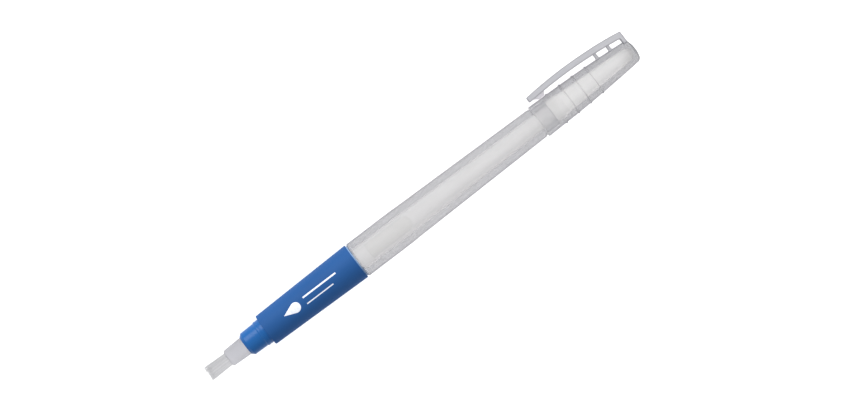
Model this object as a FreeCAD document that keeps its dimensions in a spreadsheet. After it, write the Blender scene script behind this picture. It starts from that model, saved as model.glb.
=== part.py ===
import FreeCAD, Part

# Water brush with a flat nylon tip and a squeeze barrel, cap posted on the tail.
#
# Frame, in millimetres: X runs along the brush, from the tip at -X to the cap at +X.
# The origin is on the axis, at the shoulder where the nose meets the grip. The clip
# points to +Y and the squeeze panel faces +Z.
#
# Every sub-part is drawn from its own origin, on the axis at its "..._x" station, and its
# Placement puts it there.
import os

import Sketcher

DOC = FreeCAD.newDocument("water_brush")

DRIVING = {
    # tuft and ferrule
    "tip_x": -23.5,
    "mouth_x": -15.2,
    "tuft_root_x": -4.2,
    "tuft_half_width": 2.38,
    "tuft_half_thickness": 0.82,
    "feed_x": -2.6,
    "slot_clearance": 0.03,
    "mouth_half_width": 2.62,
    "mouth_half_thickness": 1.22,
    "mouth_bevel": 0.5,
    "blade_half_width": 2.86,
    "blade_half_thickness": 1.45,
    "ferrule_r": 3.17,
    "ferrule_flange_r": 3.55,
    "ferrule_flange_x": 2.0,
    "ferrule_flange_length": 1.5,
    # feed core and flow regulator
    "feed_r": 1.5,
    "feed_bore_r": 1.54,
    "feed_end_x": 12.0,
    "regulator_r": 3.0,
    "regulator_flange_x": 15.5,
    "regulator_flange_r": 3.6,
    "regulator_end_x": 18.1,
    "drip_hole_r": 0.5,
    # nose section
    "nose_x": -8.3,
    "nose_bore_r": 3.2,
    "nose_face_r": 3.38,
    "nose_bevel_length": 1.1,
    "nose_front_r": 4.15,
    "nose_rear_r": 4.27,
    "land_x": -1.9,
    "land_ramp": 0.3,
    "land_r": 4.48,
    "shoulder_x": 0.0,
    "tube_r": 4.95,
    "tube_end_x": 36.0,
    "neck_bore_r": 3.9,
    "counterbore_x": 30.4,
    "counterbore_r": 4.5,
    # grip sleeve
    "grip_front_r": 5.54,
    "grip_rear_r": 6.3,
    "grip_end_x": 36.25,
    "grip_corner": 0.3,
    # sealing ring
    "ring_x": 18.15,
    "ring_end_x": 19.45,
    "ring_bore_r": 2.9,
    "ring_r": 3.84,
    "ring_bevel": 0.25,
    # screw thread between barrel neck and nose section
    "thread_x": 25.0,
    "thread_pitch": 2.0,
    "thread_length": 5.0,
    "thread_crest_r": 4.3,
    "thread_root_sink": 0.1,
    "thread_root_width": 1.0,
    "thread_crest_width": 0.5,
    "thread_clearance": 0.15,
    # barrel
    "neck_x": 19.5,
    "neck_r": 3.75,
    "neck_inner_r": 3.0,
    "neck_bevel": 0.25,
    "collar_x": 31.5,
    "collar_r": 4.3,
    "barrel_x": 36.5,
    "barrel_face_r": 5.93,
    "barrel_bevel_length": 0.8,
    "barrel_r": 6.22,
    "barrel_taper_x": 54.4,
    "barrel_waist_x": 58.5,
    "barrel_waist_r": 6.08,
    "barrel_tail_x": 108.7,
    "barrel_tail_r": 5.26,
    "barrel_tail_bevel": 0.45,
    "barrel_end_x": 109.6,
    "barrel_wall": 1.9,
    "reservoir_x": 36.9,
    "reservoir_cone": 2.0,
    "spigot_r": 4.5,
    "spigot_inner_r": 3.3,
    "spigot_end_x": 115.3,
    "spigot_round": 0.5,
    "spigot_wall": 1.2,
    # squeeze panel in the barrel
    "panel_x": 41.6,
    "panel_end_x": 58.2,
    "panel_depth": 0.2,
    "panel_half_angle": 27.5,
    # cap
    "cap_x": 109.75,
    "cap_mouth_r": 5.72,
    "cap_edge": 0.2,
    "cap_bore_r": 4.58,
    "cap_bore_end_x": 118.5,
    "cap_throat_x": 119.6,
    "cap_throat_r": 4.1,
    "cap_bend_x": 118.0,
    "cap_bend_r": 5.55,
    "cap_bow_x": 132.6,
    "cap_bow_r": 5.0,
    "cap_crown_x": 147.2,
    "cap_crown_r": 3.95,
    "cap_crown_edge": 0.6,
    "cap_end_x": 148.6,
    "cap_end_bow": 0.5,
    "cap_cavity_x": 145.0,
    "cap_cavity_r": 2.6,
    "cap_cavity_end_x": 146.0,
    # cap ribs
    "rib_x": 117.0,
    "rib_pitch": 5.0,
    "rib_width": 0.8,
    "rib_proud": 0.33,
    # clip, drawn in the plane of its side view
    "clip_width": 4.4,
    "clip_free_x": 111.2,
    "clip_free_outer_y": 8.55,
    "clip_free_inner_y": 6.6,
    "clip_free_round": 0.25,
    "clip_bow_x": 123.8,
    "clip_bow_outer_y": 9.17,
    "clip_bow_inner_y": 7.1,
    "clip_root_x": 136.0,
    "clip_root_outer_y": 8.74,
    "clip_root_inner_y": 6.58,
    "clip_gap": 0.15,
    "clip_head_x": 142.0,
    "clip_head_outer_y": 8.2,
    "clip_head_inner_y": 6.02,
    "clip_end_x": 147.9,
    "clip_end_y": 7.32,
    "clip_leg_x": 146.5,
    "clip_leg_y": 5.45,
    "clip_leg_foot_y": 3.0,
    # pad under the clip's free end
    "pad_x": 113.0,
    "pad_end_x": 117.6,
    "pad_tip_x": 115.0,
    "pad_tip_end_x": 116.3,
    "pad_tip_y": 6.0,
    "pad_root_y": 7.0,
    "pad_width": 2.6,
    # webs between clip and cap
    "web_width": 2.8,
    "web_1_x": 136.55,
    "web_1_end_x": 137.55,
    "web_1_foot_y": 4.1,
    "web_2_x": 141.45,
    "web_2_end_x": 142.4,
    "web_2_foot_y": 3.75,
    "web_top_y": 7.0,
    "web_2_top_y": 6.5,
}
RIB_COUNT = 4
ON_AXIS = 1e-9


class Size:
    """A length with the sheet expression that drives it."""

    def __init__(self, value, text):
        self.value = value
        self.text = text

    def __add__(self, other):
        other = as_size(other)
        return Size(self.value + other.value, f"({self.text} + {other.text})")

    def __sub__(self, other):
        other = as_size(other)
        return Size(self.value - other.value, f"({self.text} - {other.text})")

    def __mul__(self, other):
        other = as_size(other)
        return Size(self.value * other.value, f"({self.text} * {other.text})")

    def __truediv__(self, other):
        other = as_size(other)
        return Size(self.value / other.value, f"({self.text} / {other.text})")

    def __neg__(self):
        return Size(-self.value, f"(-{self.text})")


def as_size(value):
    return value if isinstance(value, Size) else Size(float(value), f"({value})")


NOTHING = Size(0.0, "0")


class Dimensions:
    """The driving dimensions, written to the sheet and read back as Size values."""

    def __init__(self, driving):
        sheet = DOC.addObject("Spreadsheet::Sheet", "Dims")
        for row, (name, value) in enumerate(driving.items(), start=1):
            sheet.set(f"A{row}", name)
            sheet.set(f"B{row}", str(value))
            sheet.setAlias(f"B{row}", name)
            setattr(self, name, Size(value, f"Dims.{name}"))
        DOC.recompute()


d = Dimensions(DRIVING)
bodies = []


def new_body(label, station):
    """A body whose origin is on the brush's axis, at the given station."""
    body = DOC.addObject("PartDesign::Body", label)
    body.Label = label
    body.Placement = FreeCAD.Placement(FreeCAD.Vector(station.value, 0, 0), FreeCAD.Rotation())
    body.setExpression("Placement.Base.x", station.text)
    bodies.append(body)
    return body


def new_sketch(body, name, role="XY_Plane", offset=None):
    """A sketch on one of the body's origin planes, moved along the plane's normal by offset."""
    sketch = body.newObject("Sketcher::SketchObject", f"{body.Label}_{name}")
    plane = next(f for f in body.Origin.OriginFeatures if f.Role == role)
    sketch.AttachmentSupport = [(plane, "")]
    sketch.MapMode = "FlatFace"
    if offset is not None:
        base = FreeCAD.Vector(0, 0, offset.value)
        sketch.AttachmentOffset = FreeCAD.Placement(base, FreeCAD.Rotation())
        sketch.setExpression("AttachmentOffset.Base.z", offset.text)
    return sketch


def drive(sketch, kind, geometry, vertex, length):
    """Holds one coordinate of a sketch point at a driven length from the sketch's axes."""
    if abs(length.value) < ON_AXIS:
        axis = -2 if kind == "DistanceX" else -1
        sketch.addConstraint(Sketcher.Constraint("PointOnObject", geometry, vertex, axis))
        return
    index = sketch.addConstraint(
        Sketcher.Constraint(kind, -1, 1, geometry, vertex, length.value)
    )
    sketch.setExpression(f"Constraints[{index}]", length.text)


def drive_point(sketch, geometry, vertex, point):
    drive(sketch, "DistanceX", geometry, vertex, as_size(point[0]))
    drive(sketch, "DistanceY", geometry, vertex, as_size(point[1]))


def vector(point):
    return FreeCAD.Vector(as_size(point[0]).value, as_size(point[1]).value, 0)


def add_outline(sketch, points):
    """
    A closed outline. Each entry is (x, y), reached by a line from the entry before it, or
    (x, y, (mid_x, mid_y)), reached by an arc through the middle point.
    """
    ends = []
    for here, after in zip(points, points[1:] + points[:1]):
        start, finish = vector(here), vector(after)
        if len(after) == 2:
            geometry = sketch.addGeometry(Part.LineSegment(start, finish))
            ends.append((geometry, 1, 2))
            continue
        middle = vector(after[2])
        turns_left = (middle - start).cross(finish - middle).z > 0
        if turns_left:
            geometry = sketch.addGeometry(Part.Arc(start, middle, finish))
            ends.append((geometry, 1, 2))
        else:
            geometry = sketch.addGeometry(Part.Arc(finish, middle, start))
            ends.append((geometry, 2, 1))
        through = sketch.addGeometry(Part.Point(middle), True)
        sketch.addConstraint(Sketcher.Constraint("PointOnObject", through, 1, geometry))
        drive_point(sketch, through, 1, after[2])
    for index, point in enumerate(points):
        geometry, first, _ = ends[index]
        before, _, last = ends[index - 1]
        sketch.addConstraint(Sketcher.Constraint("Coincident", before, last, geometry, first))
        drive_point(sketch, geometry, first, point)


def revolve(body, name, outlines, kind="Revolution", plane="XY_Plane", half_angle=None):
    """Turns outlines of (station, radius) about the brush's axis, from the body's origin."""
    sketch = new_sketch(body, name, plane)
    for outline in outlines:
        add_outline(sketch, outline)
    feature = body.newObject(f"PartDesign::{kind}", f"{body.Label}_{name}_turned")
    feature.Profile = sketch
    feature.ReferenceAxis = (sketch, ["H_Axis"])
    if half_angle is None:
        feature.Angle = 360
    else:
        feature.Midplane = True
        feature.Angle = 2 * half_angle.value
        feature.setExpression("Angle", (half_angle * 2).text)
    return feature


def local(station, outline):
    """Moves an outline's stations from the brush's frame to a body's own origin."""
    moved = []
    for entry in outline:
        x = as_size(entry[0]) - station
        if len(entry) == 2:
            moved.append((x, entry[1]))
        else:
            moved.append((x, entry[1], (as_size(entry[2][0]) - station, entry[2][1])))
    return moved


def extrude(body, name, outline, width):
    """Pads an outline of the side view to equal depths on both sides of the clip's plane."""
    sketch = new_sketch(body, name)
    add_outline(sketch, outline)
    feature = body.newObject("PartDesign::Pad", f"{body.Label}_{name}_pad")
    feature.Profile = sketch
    feature.Midplane = True
    feature.Length = width.value
    feature.setExpression("Length", width.text)
    return feature


def flat_slot(half_width, half_thickness):
    """The outline of a flat slot with round ends, wide along Y and thin along Z."""
    straight = half_width - half_thickness
    return [
        (-straight, -half_thickness, (-half_width, 0)),
        (straight, -half_thickness),
        (straight, half_thickness, (half_width, 0)),
        (-straight, half_thickness),
    ]


def plug(body, name, outline, start, length, kind="Pad"):
    """Pads or pockets a cross-section along the axis, from start over length."""
    sketch = new_sketch(body, name, "YZ_Plane", start)
    add_outline(sketch, outline)
    feature = body.newObject(f"PartDesign::{kind}", f"{body.Label}_{name}_{kind.lower()}")
    feature.Profile = sketch
    feature.Length = length.value
    feature.setExpression("Length", length.text)
    if kind == "Pocket":
        feature.Reversed = True
    return feature


def thread(body, name, station, length, widen, kind):
    """A right-hand thread about the axis, its ridge or groove widened by the clearance."""
    sketch = new_sketch(body, name)
    root_r = d.neck_r - d.thread_root_sink
    crest_r = d.thread_crest_r + widen
    root = d.thread_root_width * 0.5 + widen
    crest = d.thread_crest_width * 0.5 + widen
    add_outline(
        sketch,
        [
            (station - root, root_r),
            (station - crest, crest_r),
            (station + crest, crest_r),
            (station + root, root_r),
        ],
    )
    feature = body.newObject(f"PartDesign::{kind}", f"{body.Label}_{name}_helix")
    feature.Profile = sketch
    feature.ReferenceAxis = (sketch, ["H_Axis"])
    feature.Mode = 0
    feature.Pitch = d.thread_pitch.value
    feature.setExpression("Pitch", d.thread_pitch.text)
    feature.Height = length.value
    feature.setExpression("Height", length.text)
    return feature


# --- tip ------------------------------------------------------------------------------


def make_tuft():
    """The free fibres, and the slab at their root where they are melted together."""
    section = flat_slot(d.tuft_half_width, d.tuft_half_thickness)
    tuft = new_body("bristle_tuft", d.tip_x)
    plug(tuft, "fibres", section, NOTHING, d.tuft_root_x - d.tip_x)
    root = new_body("tuft_root", d.tuft_root_x)
    plug(root, "slab", section, NOTHING, d.feed_x - d.tuft_root_x)


def add_ellipse(sketch, half_width, half_thickness):
    """An ellipse about the axis, both of its radii driven."""
    ellipse = sketch.addGeometry(
        Part.Ellipse(
            FreeCAD.Vector(half_width.value, 0, 0),
            FreeCAD.Vector(0, half_thickness.value, 0),
            FreeCAD.Vector(0, 0, 0),
        )
    )
    sketch.exposeInternalGeometry(ellipse)
    major, minor = ellipse + 1, ellipse + 2
    sketch.addConstraint(Sketcher.Constraint("Coincident", ellipse, 3, -1, 1))
    drive_point(sketch, major, 1, (half_width, 0))
    drive(sketch, "DistanceY", minor, 1, half_thickness)


def make_ferrule():
    """A tube that is round in the nose and flattens to the tuft's mouth."""
    ferrule = new_body("ferrule", d.mouth_x)
    front = new_sketch(ferrule, "mouth", "YZ_Plane")
    add_ellipse(front, d.mouth_half_width, d.mouth_half_thickness)
    blade = new_sketch(ferrule, "blade", "YZ_Plane", d.mouth_bevel)
    add_ellipse(blade, d.blade_half_width, d.blade_half_thickness)
    back = new_sketch(ferrule, "root", "YZ_Plane", d.nose_x - d.mouth_x)
    circle = back.addGeometry(
        Part.Circle(FreeCAD.Vector(0, 0, 0), FreeCAD.Vector(0, 0, 1), d.ferrule_r.value)
    )
    back.addConstraint(Sketcher.Constraint("Coincident", circle, 3, -1, 1))
    radius = back.addConstraint(Sketcher.Constraint("Radius", circle, d.ferrule_r.value))
    back.setExpression(f"Constraints[{radius}]", d.ferrule_r.text)
    loft = ferrule.newObject("PartDesign::AdditiveLoft", "ferrule_loft")
    loft.Profile = front
    loft.Sections = [blade, back]
    loft.Ruled = True

    flange_end = d.ferrule_flange_x + d.ferrule_flange_length
    shank = [
        (d.nose_x, 0),
        (d.nose_x, d.ferrule_r),
        (d.ferrule_flange_x, d.ferrule_r),
        (d.ferrule_flange_x, d.ferrule_flange_r),
        (flange_end, d.ferrule_flange_r),
        (flange_end, 0),
    ]
    revolve(ferrule, "shank", [local(d.mouth_x, shank)])
    DOC.recompute()
    slot = flat_slot(
        d.tuft_half_width + d.slot_clearance, d.tuft_half_thickness + d.slot_clearance
    )
    plug(ferrule, "slot", slot, NOTHING, d.feed_x - d.mouth_x, "Pocket")
    bore = [
        (d.feed_x, 0),
        (d.feed_x, d.feed_bore_r),
        (flange_end + 1, d.feed_bore_r),
        (flange_end + 1, 0),
    ]
    revolve(ferrule, "bore", [local(d.mouth_x, bore)], "Groove")


def make_feed():
    """The fibre core that carries water to the tuft, and the regulator that meters it."""
    core = new_body("feed_core", d.feed_x)
    rod = [(d.feed_x, 0), (d.feed_x, d.feed_r), (d.feed_end_x, d.feed_r), (d.feed_end_x, 0)]
    revolve(core, "rod", [local(d.feed_x, rod)])

    start = d.ferrule_flange_x + d.ferrule_flange_length
    regulator = new_body("flow_regulator", start)
    outline = [
        (start, d.feed_bore_r),
        (start, d.regulator_r),
        (d.regulator_flange_x, d.regulator_r),
        (d.regulator_flange_x, d.regulator_flange_r),
        (d.regulator_end_x, d.regulator_flange_r),
        (d.regulator_end_x, d.drip_hole_r),
        (d.feed_end_x, d.drip_hole_r),
        (d.feed_end_x, d.feed_bore_r),
    ]
    revolve(regulator, "sleeve", [local(start, outline)])


# --- front section --------------------------------------------------------------------


def make_nose_section():
    """The visible nose, and the threaded tube behind it that carries the grip sleeve."""
    nose = new_body("nose_section", d.nose_x)
    outline = [
        (d.nose_x, d.nose_bore_r),
        (d.nose_x, d.nose_face_r),
        (d.nose_x + d.nose_bevel_length, d.nose_front_r),
        (d.land_x - d.land_ramp, d.nose_rear_r),
        (d.land_x, d.land_r),
        (d.shoulder_x, d.land_r),
        (d.shoulder_x, d.tube_r),
        (d.tube_end_x, d.tube_r),
        (d.tube_end_x, d.counterbore_r),
        (d.counterbore_x, d.counterbore_r),
        (d.counterbore_x, d.neck_bore_r),
        (d.regulator_end_x, d.neck_bore_r),
        (d.regulator_end_x, d.regulator_flange_r),
        (d.ferrule_flange_x, d.regulator_flange_r),
        (d.ferrule_flange_x, d.nose_bore_r),
    ]
    revolve(nose, "shell", [local(d.nose_x, outline)])
    DOC.recompute()
    thread(
        nose,
        "groove",
        d.thread_x - d.nose_x,
        d.thread_length + d.thread_pitch * 0.5,
        d.thread_clearance,
        "SubtractiveHelix",
    )


def make_grip_sleeve():
    """The sleeve pressed over the nose section's tube."""
    grip = new_body("grip_sleeve", d.shoulder_x)
    outline = [
        (d.shoulder_x, d.tube_r),
        (d.shoulder_x, d.grip_front_r - d.grip_corner),
        (d.shoulder_x + d.grip_corner, d.grip_front_r),
        (d.grip_end_x - d.grip_corner, d.grip_rear_r),
        (d.grip_end_x, d.grip_rear_r - d.grip_corner),
        (d.grip_end_x, d.tube_r),
    ]
    revolve(grip, "sleeve", [local(d.shoulder_x, outline)])


def make_sealing_ring():
    """The soft ring between the regulator and the barrel's neck."""
    ring = new_body("sealing_ring", d.ring_x)
    outline = [
        (d.ring_x, d.ring_bore_r),
        (d.ring_x, d.ring_r - d.ring_bevel),
        (d.ring_x + d.ring_bevel, d.ring_r),
        (d.ring_end_x - d.ring_bevel, d.ring_r),
        (d.ring_end_x, d.ring_r - d.ring_bevel),
        (d.ring_end_x, d.ring_bore_r),
    ]
    revolve(ring, "ring", [local(d.ring_x, outline)])


# --- barrel ---------------------------------------------------------------------------


def make_barrel():
    """The squeeze reservoir: threaded neck, long soft-walled body and closed tail spigot."""
    barrel = new_body("barrel", d.neck_x)
    inner_r = d.barrel_r - d.barrel_wall
    outline = [
        (d.neck_x, d.neck_inner_r),
        (d.neck_x, d.neck_r - d.neck_bevel),
        (d.neck_x + d.neck_bevel, d.neck_r),
        (d.collar_x, d.neck_r),
        (d.collar_x, d.collar_r),
        (d.barrel_x, d.collar_r),
        (d.barrel_x, d.barrel_face_r),
        (d.barrel_x + d.barrel_bevel_length, d.barrel_r),
        (d.barrel_taper_x, d.barrel_r),
        (d.barrel_waist_x, d.barrel_waist_r),
        (d.barrel_tail_x, d.barrel_tail_r),
        (d.barrel_end_x, d.barrel_tail_r - d.barrel_tail_bevel),
        (d.barrel_end_x, d.spigot_r),
        (d.spigot_end_x - d.spigot_round, d.spigot_r),
        (d.spigot_end_x, d.spigot_r - d.spigot_round),
        (d.spigot_end_x, 0),
        (d.spigot_end_x - d.spigot_wall, 0),
        (d.spigot_end_x - d.spigot_wall, d.spigot_inner_r - d.spigot_round),
        (d.spigot_end_x - d.spigot_wall - d.spigot_round, d.spigot_inner_r),
        (d.barrel_end_x, d.spigot_inner_r),
        (d.barrel_tail_x - d.spigot_wall, d.barrel_tail_r - d.barrel_wall),
        (d.barrel_waist_x, d.barrel_waist_r - d.barrel_wall),
        (d.barrel_taper_x, inner_r),
        (d.reservoir_x + d.reservoir_cone, inner_r),
        (d.reservoir_x, d.neck_inner_r),
    ]
    revolve(barrel, "shell", [local(d.neck_x, outline)])
    DOC.recompute()
    thread(
        barrel,
        "ridge",
        d.thread_x - d.neck_x,
        d.thread_length,
        NOTHING,
        "AdditiveHelix",
    )
    DOC.recompute()
    floor_r = d.barrel_waist_r - d.panel_depth
    above_r = d.barrel_r + 1
    panel = [
        (d.panel_x, floor_r),
        (d.panel_x, above_r),
        (d.panel_end_x, above_r),
        (d.panel_end_x, floor_r),
    ]
    revolve(
        barrel,
        "panel",
        [local(d.neck_x, panel)],
        "Groove",
        "XZ_Plane",
        d.panel_half_angle,
    )


# --- cap ------------------------------------------------------------------------------


def rib_outlines():
    """One low trapezoid for each rib, centred on the bowed wall, its foot sunk in it."""
    half_run = (d.cap_crown_x - d.cap_bend_x) * 0.5
    drop = (d.cap_bend_r - d.cap_crown_r) * 0.5
    bulge = d.cap_bow_r - (d.cap_bend_r + d.cap_crown_r) * 0.5
    half = d.rib_width * 0.5
    ribs = []
    for index in range(RIB_COUNT):
        x = d.rib_x + d.rib_pitch * index
        run = (x - d.cap_bow_x) / half_run
        wall_r = d.cap_bow_r - drop * run - bulge * run * run
        foot = wall_r - d.rib_proud
        crest = wall_r + d.rib_proud
        ribs.append(
            [(x - half, foot), (x - half * 0.5, crest), (x + half * 0.5, crest), (x + half, foot)]
        )
    return ribs


def make_cap_shell():
    """The ribbed cap with the fixed part of its clip: head, leg and two webs."""
    cap = new_body("cap_shell", d.cap_x)
    outline = [
        (d.cap_x, d.cap_bore_r + d.cap_edge),
        (d.cap_x, d.cap_mouth_r - d.cap_edge),
        (d.cap_x + d.cap_edge, d.cap_mouth_r),
        (d.cap_bend_x, d.cap_bend_r),
        (d.cap_crown_x, d.cap_crown_r, (d.cap_bow_x, d.cap_bow_r)),
        (d.cap_end_x - d.cap_end_bow, d.cap_crown_r - d.cap_crown_edge),
        (d.cap_end_x, 0),
        (d.cap_cavity_end_x, 0),
        (d.cap_cavity_end_x, d.cap_cavity_r - d.cap_crown_edge),
        (d.cap_cavity_x, d.cap_cavity_r),
        (d.cap_throat_x, d.cap_throat_r),
        (d.cap_bore_end_x, d.cap_bore_r),
        (d.cap_x + d.cap_edge, d.cap_bore_r),
    ]
    revolve(cap, "shell", [local(d.cap_x, outline)])
    revolve(cap, "ribs", [local(d.cap_x, rib) for rib in rib_outlines()])
    head_x = d.clip_root_x + d.clip_gap
    head = [
        (head_x, d.clip_root_inner_y, (d.clip_head_x, d.clip_head_inner_y)),
        (head_x, d.clip_root_outer_y),
        (d.clip_end_x, d.clip_end_y, (d.clip_head_x, d.clip_head_outer_y)),
        (d.clip_end_x, d.clip_leg_foot_y),
        (d.clip_leg_x, d.clip_leg_foot_y),
        (d.clip_leg_x, d.clip_leg_y),
    ]
    extrude(cap, "clip_head", local(d.cap_x, head), d.clip_width)
    for number, start, end, foot, top in (
        (1, d.web_1_x, d.web_1_end_x, d.web_1_foot_y, d.web_top_y),
        (2, d.web_2_x, d.web_2_end_x, d.web_2_foot_y, d.web_2_top_y),
    ):
        web = [(start, foot), (start, top), (end, top), (end, foot)]
        extrude(cap, f"web_{number}", local(d.cap_x, web), d.web_width)


def make_clip_arm():
    """The springy length of the clip, with the pad under its free end."""
    arm = new_body("clip_arm", d.clip_free_x)
    outline = [
        (
            d.clip_free_x + d.clip_free_round,
            d.clip_free_inner_y,
            (d.clip_bow_x, d.clip_bow_inner_y),
        ),
        (d.clip_free_x, d.clip_free_inner_y + d.clip_free_round),
        (d.clip_free_x, d.clip_free_outer_y - d.clip_free_round),
        (d.clip_free_x + d.clip_free_round, d.clip_free_outer_y),
        (d.clip_root_x, d.clip_root_outer_y, (d.clip_bow_x, d.clip_bow_outer_y)),
        (d.clip_root_x, d.clip_root_inner_y),
    ]
    extrude(arm, "bow", local(d.clip_free_x, outline), d.clip_width)
    pad = [
        (d.pad_x, d.pad_root_y),
        (d.pad_end_x, d.pad_root_y),
        (d.pad_tip_end_x, d.pad_tip_y),
        (d.pad_tip_x, d.pad_tip_y),
    ]
    extrude(arm, "pad", local(d.clip_free_x, pad), d.pad_width)


# --- build, check and write -----------------------------------------------------------


def check_document():
    """Stops if any object failed or any sub-part has no sound single solid."""
    for thing in DOC.Objects:
        if "Invalid" in thing.State or "Error" in thing.State:
            raise RuntimeError(f"{thing.Label}: {thing.State}")
    for body in bodies:
        shape = body.Shape
        if shape.isNull() or not shape.isValid() or len(shape.Solids) != 1:
            raise RuntimeError(f"{body.Label}: not one sound solid")


def write_parts():
    os.makedirs("parts", exist_ok=True)
    for body in bodies:
        body.Shape.exportStep(os.path.join("parts", f"{body.Label}.step"))
        print(f"{body.Label}: {body.Shape.Volume:.1f} mm3")


make_tuft()
make_ferrule()
make_feed()
make_nose_section()
make_grip_sleeve()
make_sealing_ring()
make_barrel()
make_cap_shell()
make_clip_arm()
DOC.recompute()
check_document()
write_parts()
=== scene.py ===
import math
import random

import bmesh
import bpy
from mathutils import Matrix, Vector


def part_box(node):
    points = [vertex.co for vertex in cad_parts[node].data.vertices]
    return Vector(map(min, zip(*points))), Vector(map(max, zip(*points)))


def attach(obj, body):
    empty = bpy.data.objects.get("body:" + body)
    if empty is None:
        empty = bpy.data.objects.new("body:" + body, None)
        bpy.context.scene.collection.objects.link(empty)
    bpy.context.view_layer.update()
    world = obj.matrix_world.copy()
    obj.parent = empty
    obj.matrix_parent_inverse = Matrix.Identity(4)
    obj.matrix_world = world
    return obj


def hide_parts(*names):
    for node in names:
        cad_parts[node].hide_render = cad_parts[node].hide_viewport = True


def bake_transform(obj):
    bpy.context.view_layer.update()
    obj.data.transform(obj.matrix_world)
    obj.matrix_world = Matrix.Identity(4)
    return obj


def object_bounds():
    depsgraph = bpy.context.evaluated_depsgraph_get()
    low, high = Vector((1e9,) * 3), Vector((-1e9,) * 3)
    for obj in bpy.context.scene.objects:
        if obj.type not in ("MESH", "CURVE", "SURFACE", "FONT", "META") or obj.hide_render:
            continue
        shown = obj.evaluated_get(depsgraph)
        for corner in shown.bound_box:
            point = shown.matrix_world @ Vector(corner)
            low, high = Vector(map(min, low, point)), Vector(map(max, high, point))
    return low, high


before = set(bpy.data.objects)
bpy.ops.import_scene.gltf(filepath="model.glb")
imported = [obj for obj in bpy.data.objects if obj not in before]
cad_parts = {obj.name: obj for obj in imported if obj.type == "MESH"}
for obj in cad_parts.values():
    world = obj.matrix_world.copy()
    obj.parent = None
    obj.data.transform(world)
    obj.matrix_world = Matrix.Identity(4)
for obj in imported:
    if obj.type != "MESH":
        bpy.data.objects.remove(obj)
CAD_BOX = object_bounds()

MM = 0.001
RING = 128
FILLET_STEPS = 6
SEED = 7


# --- places read from the frame -------------------------------------------------------


def span(node):
    """Lowest and highest X of a CAD node."""
    low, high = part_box(node)
    return low.x, high.x


def radius(node):
    """The node's largest half-height, which for a turned piece is its largest radius."""
    low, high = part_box(node)
    return (high.z - low.z) / 2


TIP_X, TUFT_ROOT_X = span("bristle_tuft")
MOUTH_X, FERRULE_END_X = span("ferrule")
NOSE_X, TUBE_END_X = span("nose_section")
GRIP_X, GRIP_END_X = span("grip_sleeve")
NECK_X, SPIGOT_END_X = span("barrel")
CAP_X, CAP_END_X = span("cap_shell")
CLIP_X = span("clip_arm")[0]
TUFT_LOW, TUFT_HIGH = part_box("bristle_tuft")

# --- the tip's sizes ------------------------------------------------------------------

FIBRE_R = 0.085 * MM
FIBRE_SIDES = 6
FIBRE_STEPS = 7
FIBRE_PITCH = FIBRE_R * 2.02
FIBRE_ROOT_X = MOUTH_X + 2.2 * MM
# How unevenly the filaments are cut and how far they lean at the tip, in mm, and the
# share of them that is cut well short.
CUT_SPREAD = 0.42
CUT_MOST = 1.8
LEAN_Y, LEAN_Z = 0.035, 0.03
STRAY_SHARE = 0.06

NOSE_BORE_R = 3.2 * MM
SHANK_R = NOSE_BORE_R - 0.03 * MM
FLANGE_R = radius("ferrule")
FLANGE_X = FERRULE_END_X - 1.5 * MM
FEED_BORE_R = 1.54 * MM
FEED_BORE_X = TUFT_ROOT_X + 1.6 * MM
TUFT_GAP = 0.02 * MM
SWELL_STEPS = 14
# The flat mouth's outside: X past the mouth, half width, half thickness, squareness.
MOUTH = (
    (0.15 * MM, 2.45 * MM, 1.08 * MM, 2.7),
    (0.2 * MM, 2.55 * MM, 1.2 * MM, 2.7),
    (0.5 * MM, 2.93 * MM, 1.42 * MM, 2.6),
)

# --- the front section's sizes --------------------------------------------------------

NOSE_LIP_X = NOSE_X + 0.15 * MM
NOSE_LIP_R = 3.32 * MM
NOSE_CONE_X, NOSE_CONE_R = NOSE_X + 1.1 * MM, 4.16 * MM
NOSE_END_R = 4.26 * MM
BEAD_R = 4.5 * MM
LAND_R = 4.48 * MM
TUBE_R = radius("nose_section")
SOCKET_X, SOCKET_R = 30.4 * MM, 4.5 * MM
CHAMBER_X, CHAMBER_R = 18.1 * MM, 3.9 * MM
FLANGE_SEAT_X, FLANGE_BORE_R = 2.0 * MM, 3.6 * MM

GRIP_BORE_R = TUBE_R + 0.01 * MM
GRIP_FRONT_R = 5.54 * MM
GRIP_R = radius("grip_sleeve")
SLEEVE_END_X = GRIP_END_X + 0.15 * MM
LIP_END_X = GRIP_END_X + 0.5 * MM
LIP_R, LIP_END_R = 5.78 * MM, 5.72 * MM

INK_LIFT = 0.012 * MM
DROP_TIP_X = 7.6 * MM
DROP_X, DROP_R = 12.2 * MM, 1.75 * MM
DROP_SIDE_STEPS = 12
# Each bar runs from one X to another, between two distances round the grip, in mm.
BARS = (
    (15.9, 29.0, 0.85, 1.4),
    (15.9, 26.4, -1.5, -1.1),
)

# --- the barrel's sizes ---------------------------------------------------------------

NECK_R, NECK_BORE_R = 3.75 * MM, 3.0 * MM
COLLAR_X, COLLAR_R = 31.5 * MM, 4.3 * MM
BARREL_X = LIP_END_X + 0.02 * MM
BARREL_END_X = CAP_X - 0.03 * MM
SHOULDER_END_X = BARREL_X + 0.4 * MM
BODY_X, BODY_R = 38.6 * MM, 6.22 * MM
WAIST_X, WAIST_END_X = 54.0 * MM, 59.0 * MM
WAIST_R = 6.08 * MM
TAIL_X, TAIL_R = 108.95 * MM, 5.26 * MM
TAIL_STEP_X, TAIL_STEP_R = 109.4 * MM, 5.07 * MM
TAIL_END_R = 4.9 * MM
SPIGOT_R, SPIGOT_BORE_R = 4.5 * MM, 3.3 * MM
SPIGOT_BORE_X = 109.6 * MM
SPIGOT_FLOOR_X = SPIGOT_END_X - 0.35 * MM
WALL = 1.9 * MM
RESERVOIR_X = 37.0 * MM
RESERVOIR_R = BODY_R - WALL
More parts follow.
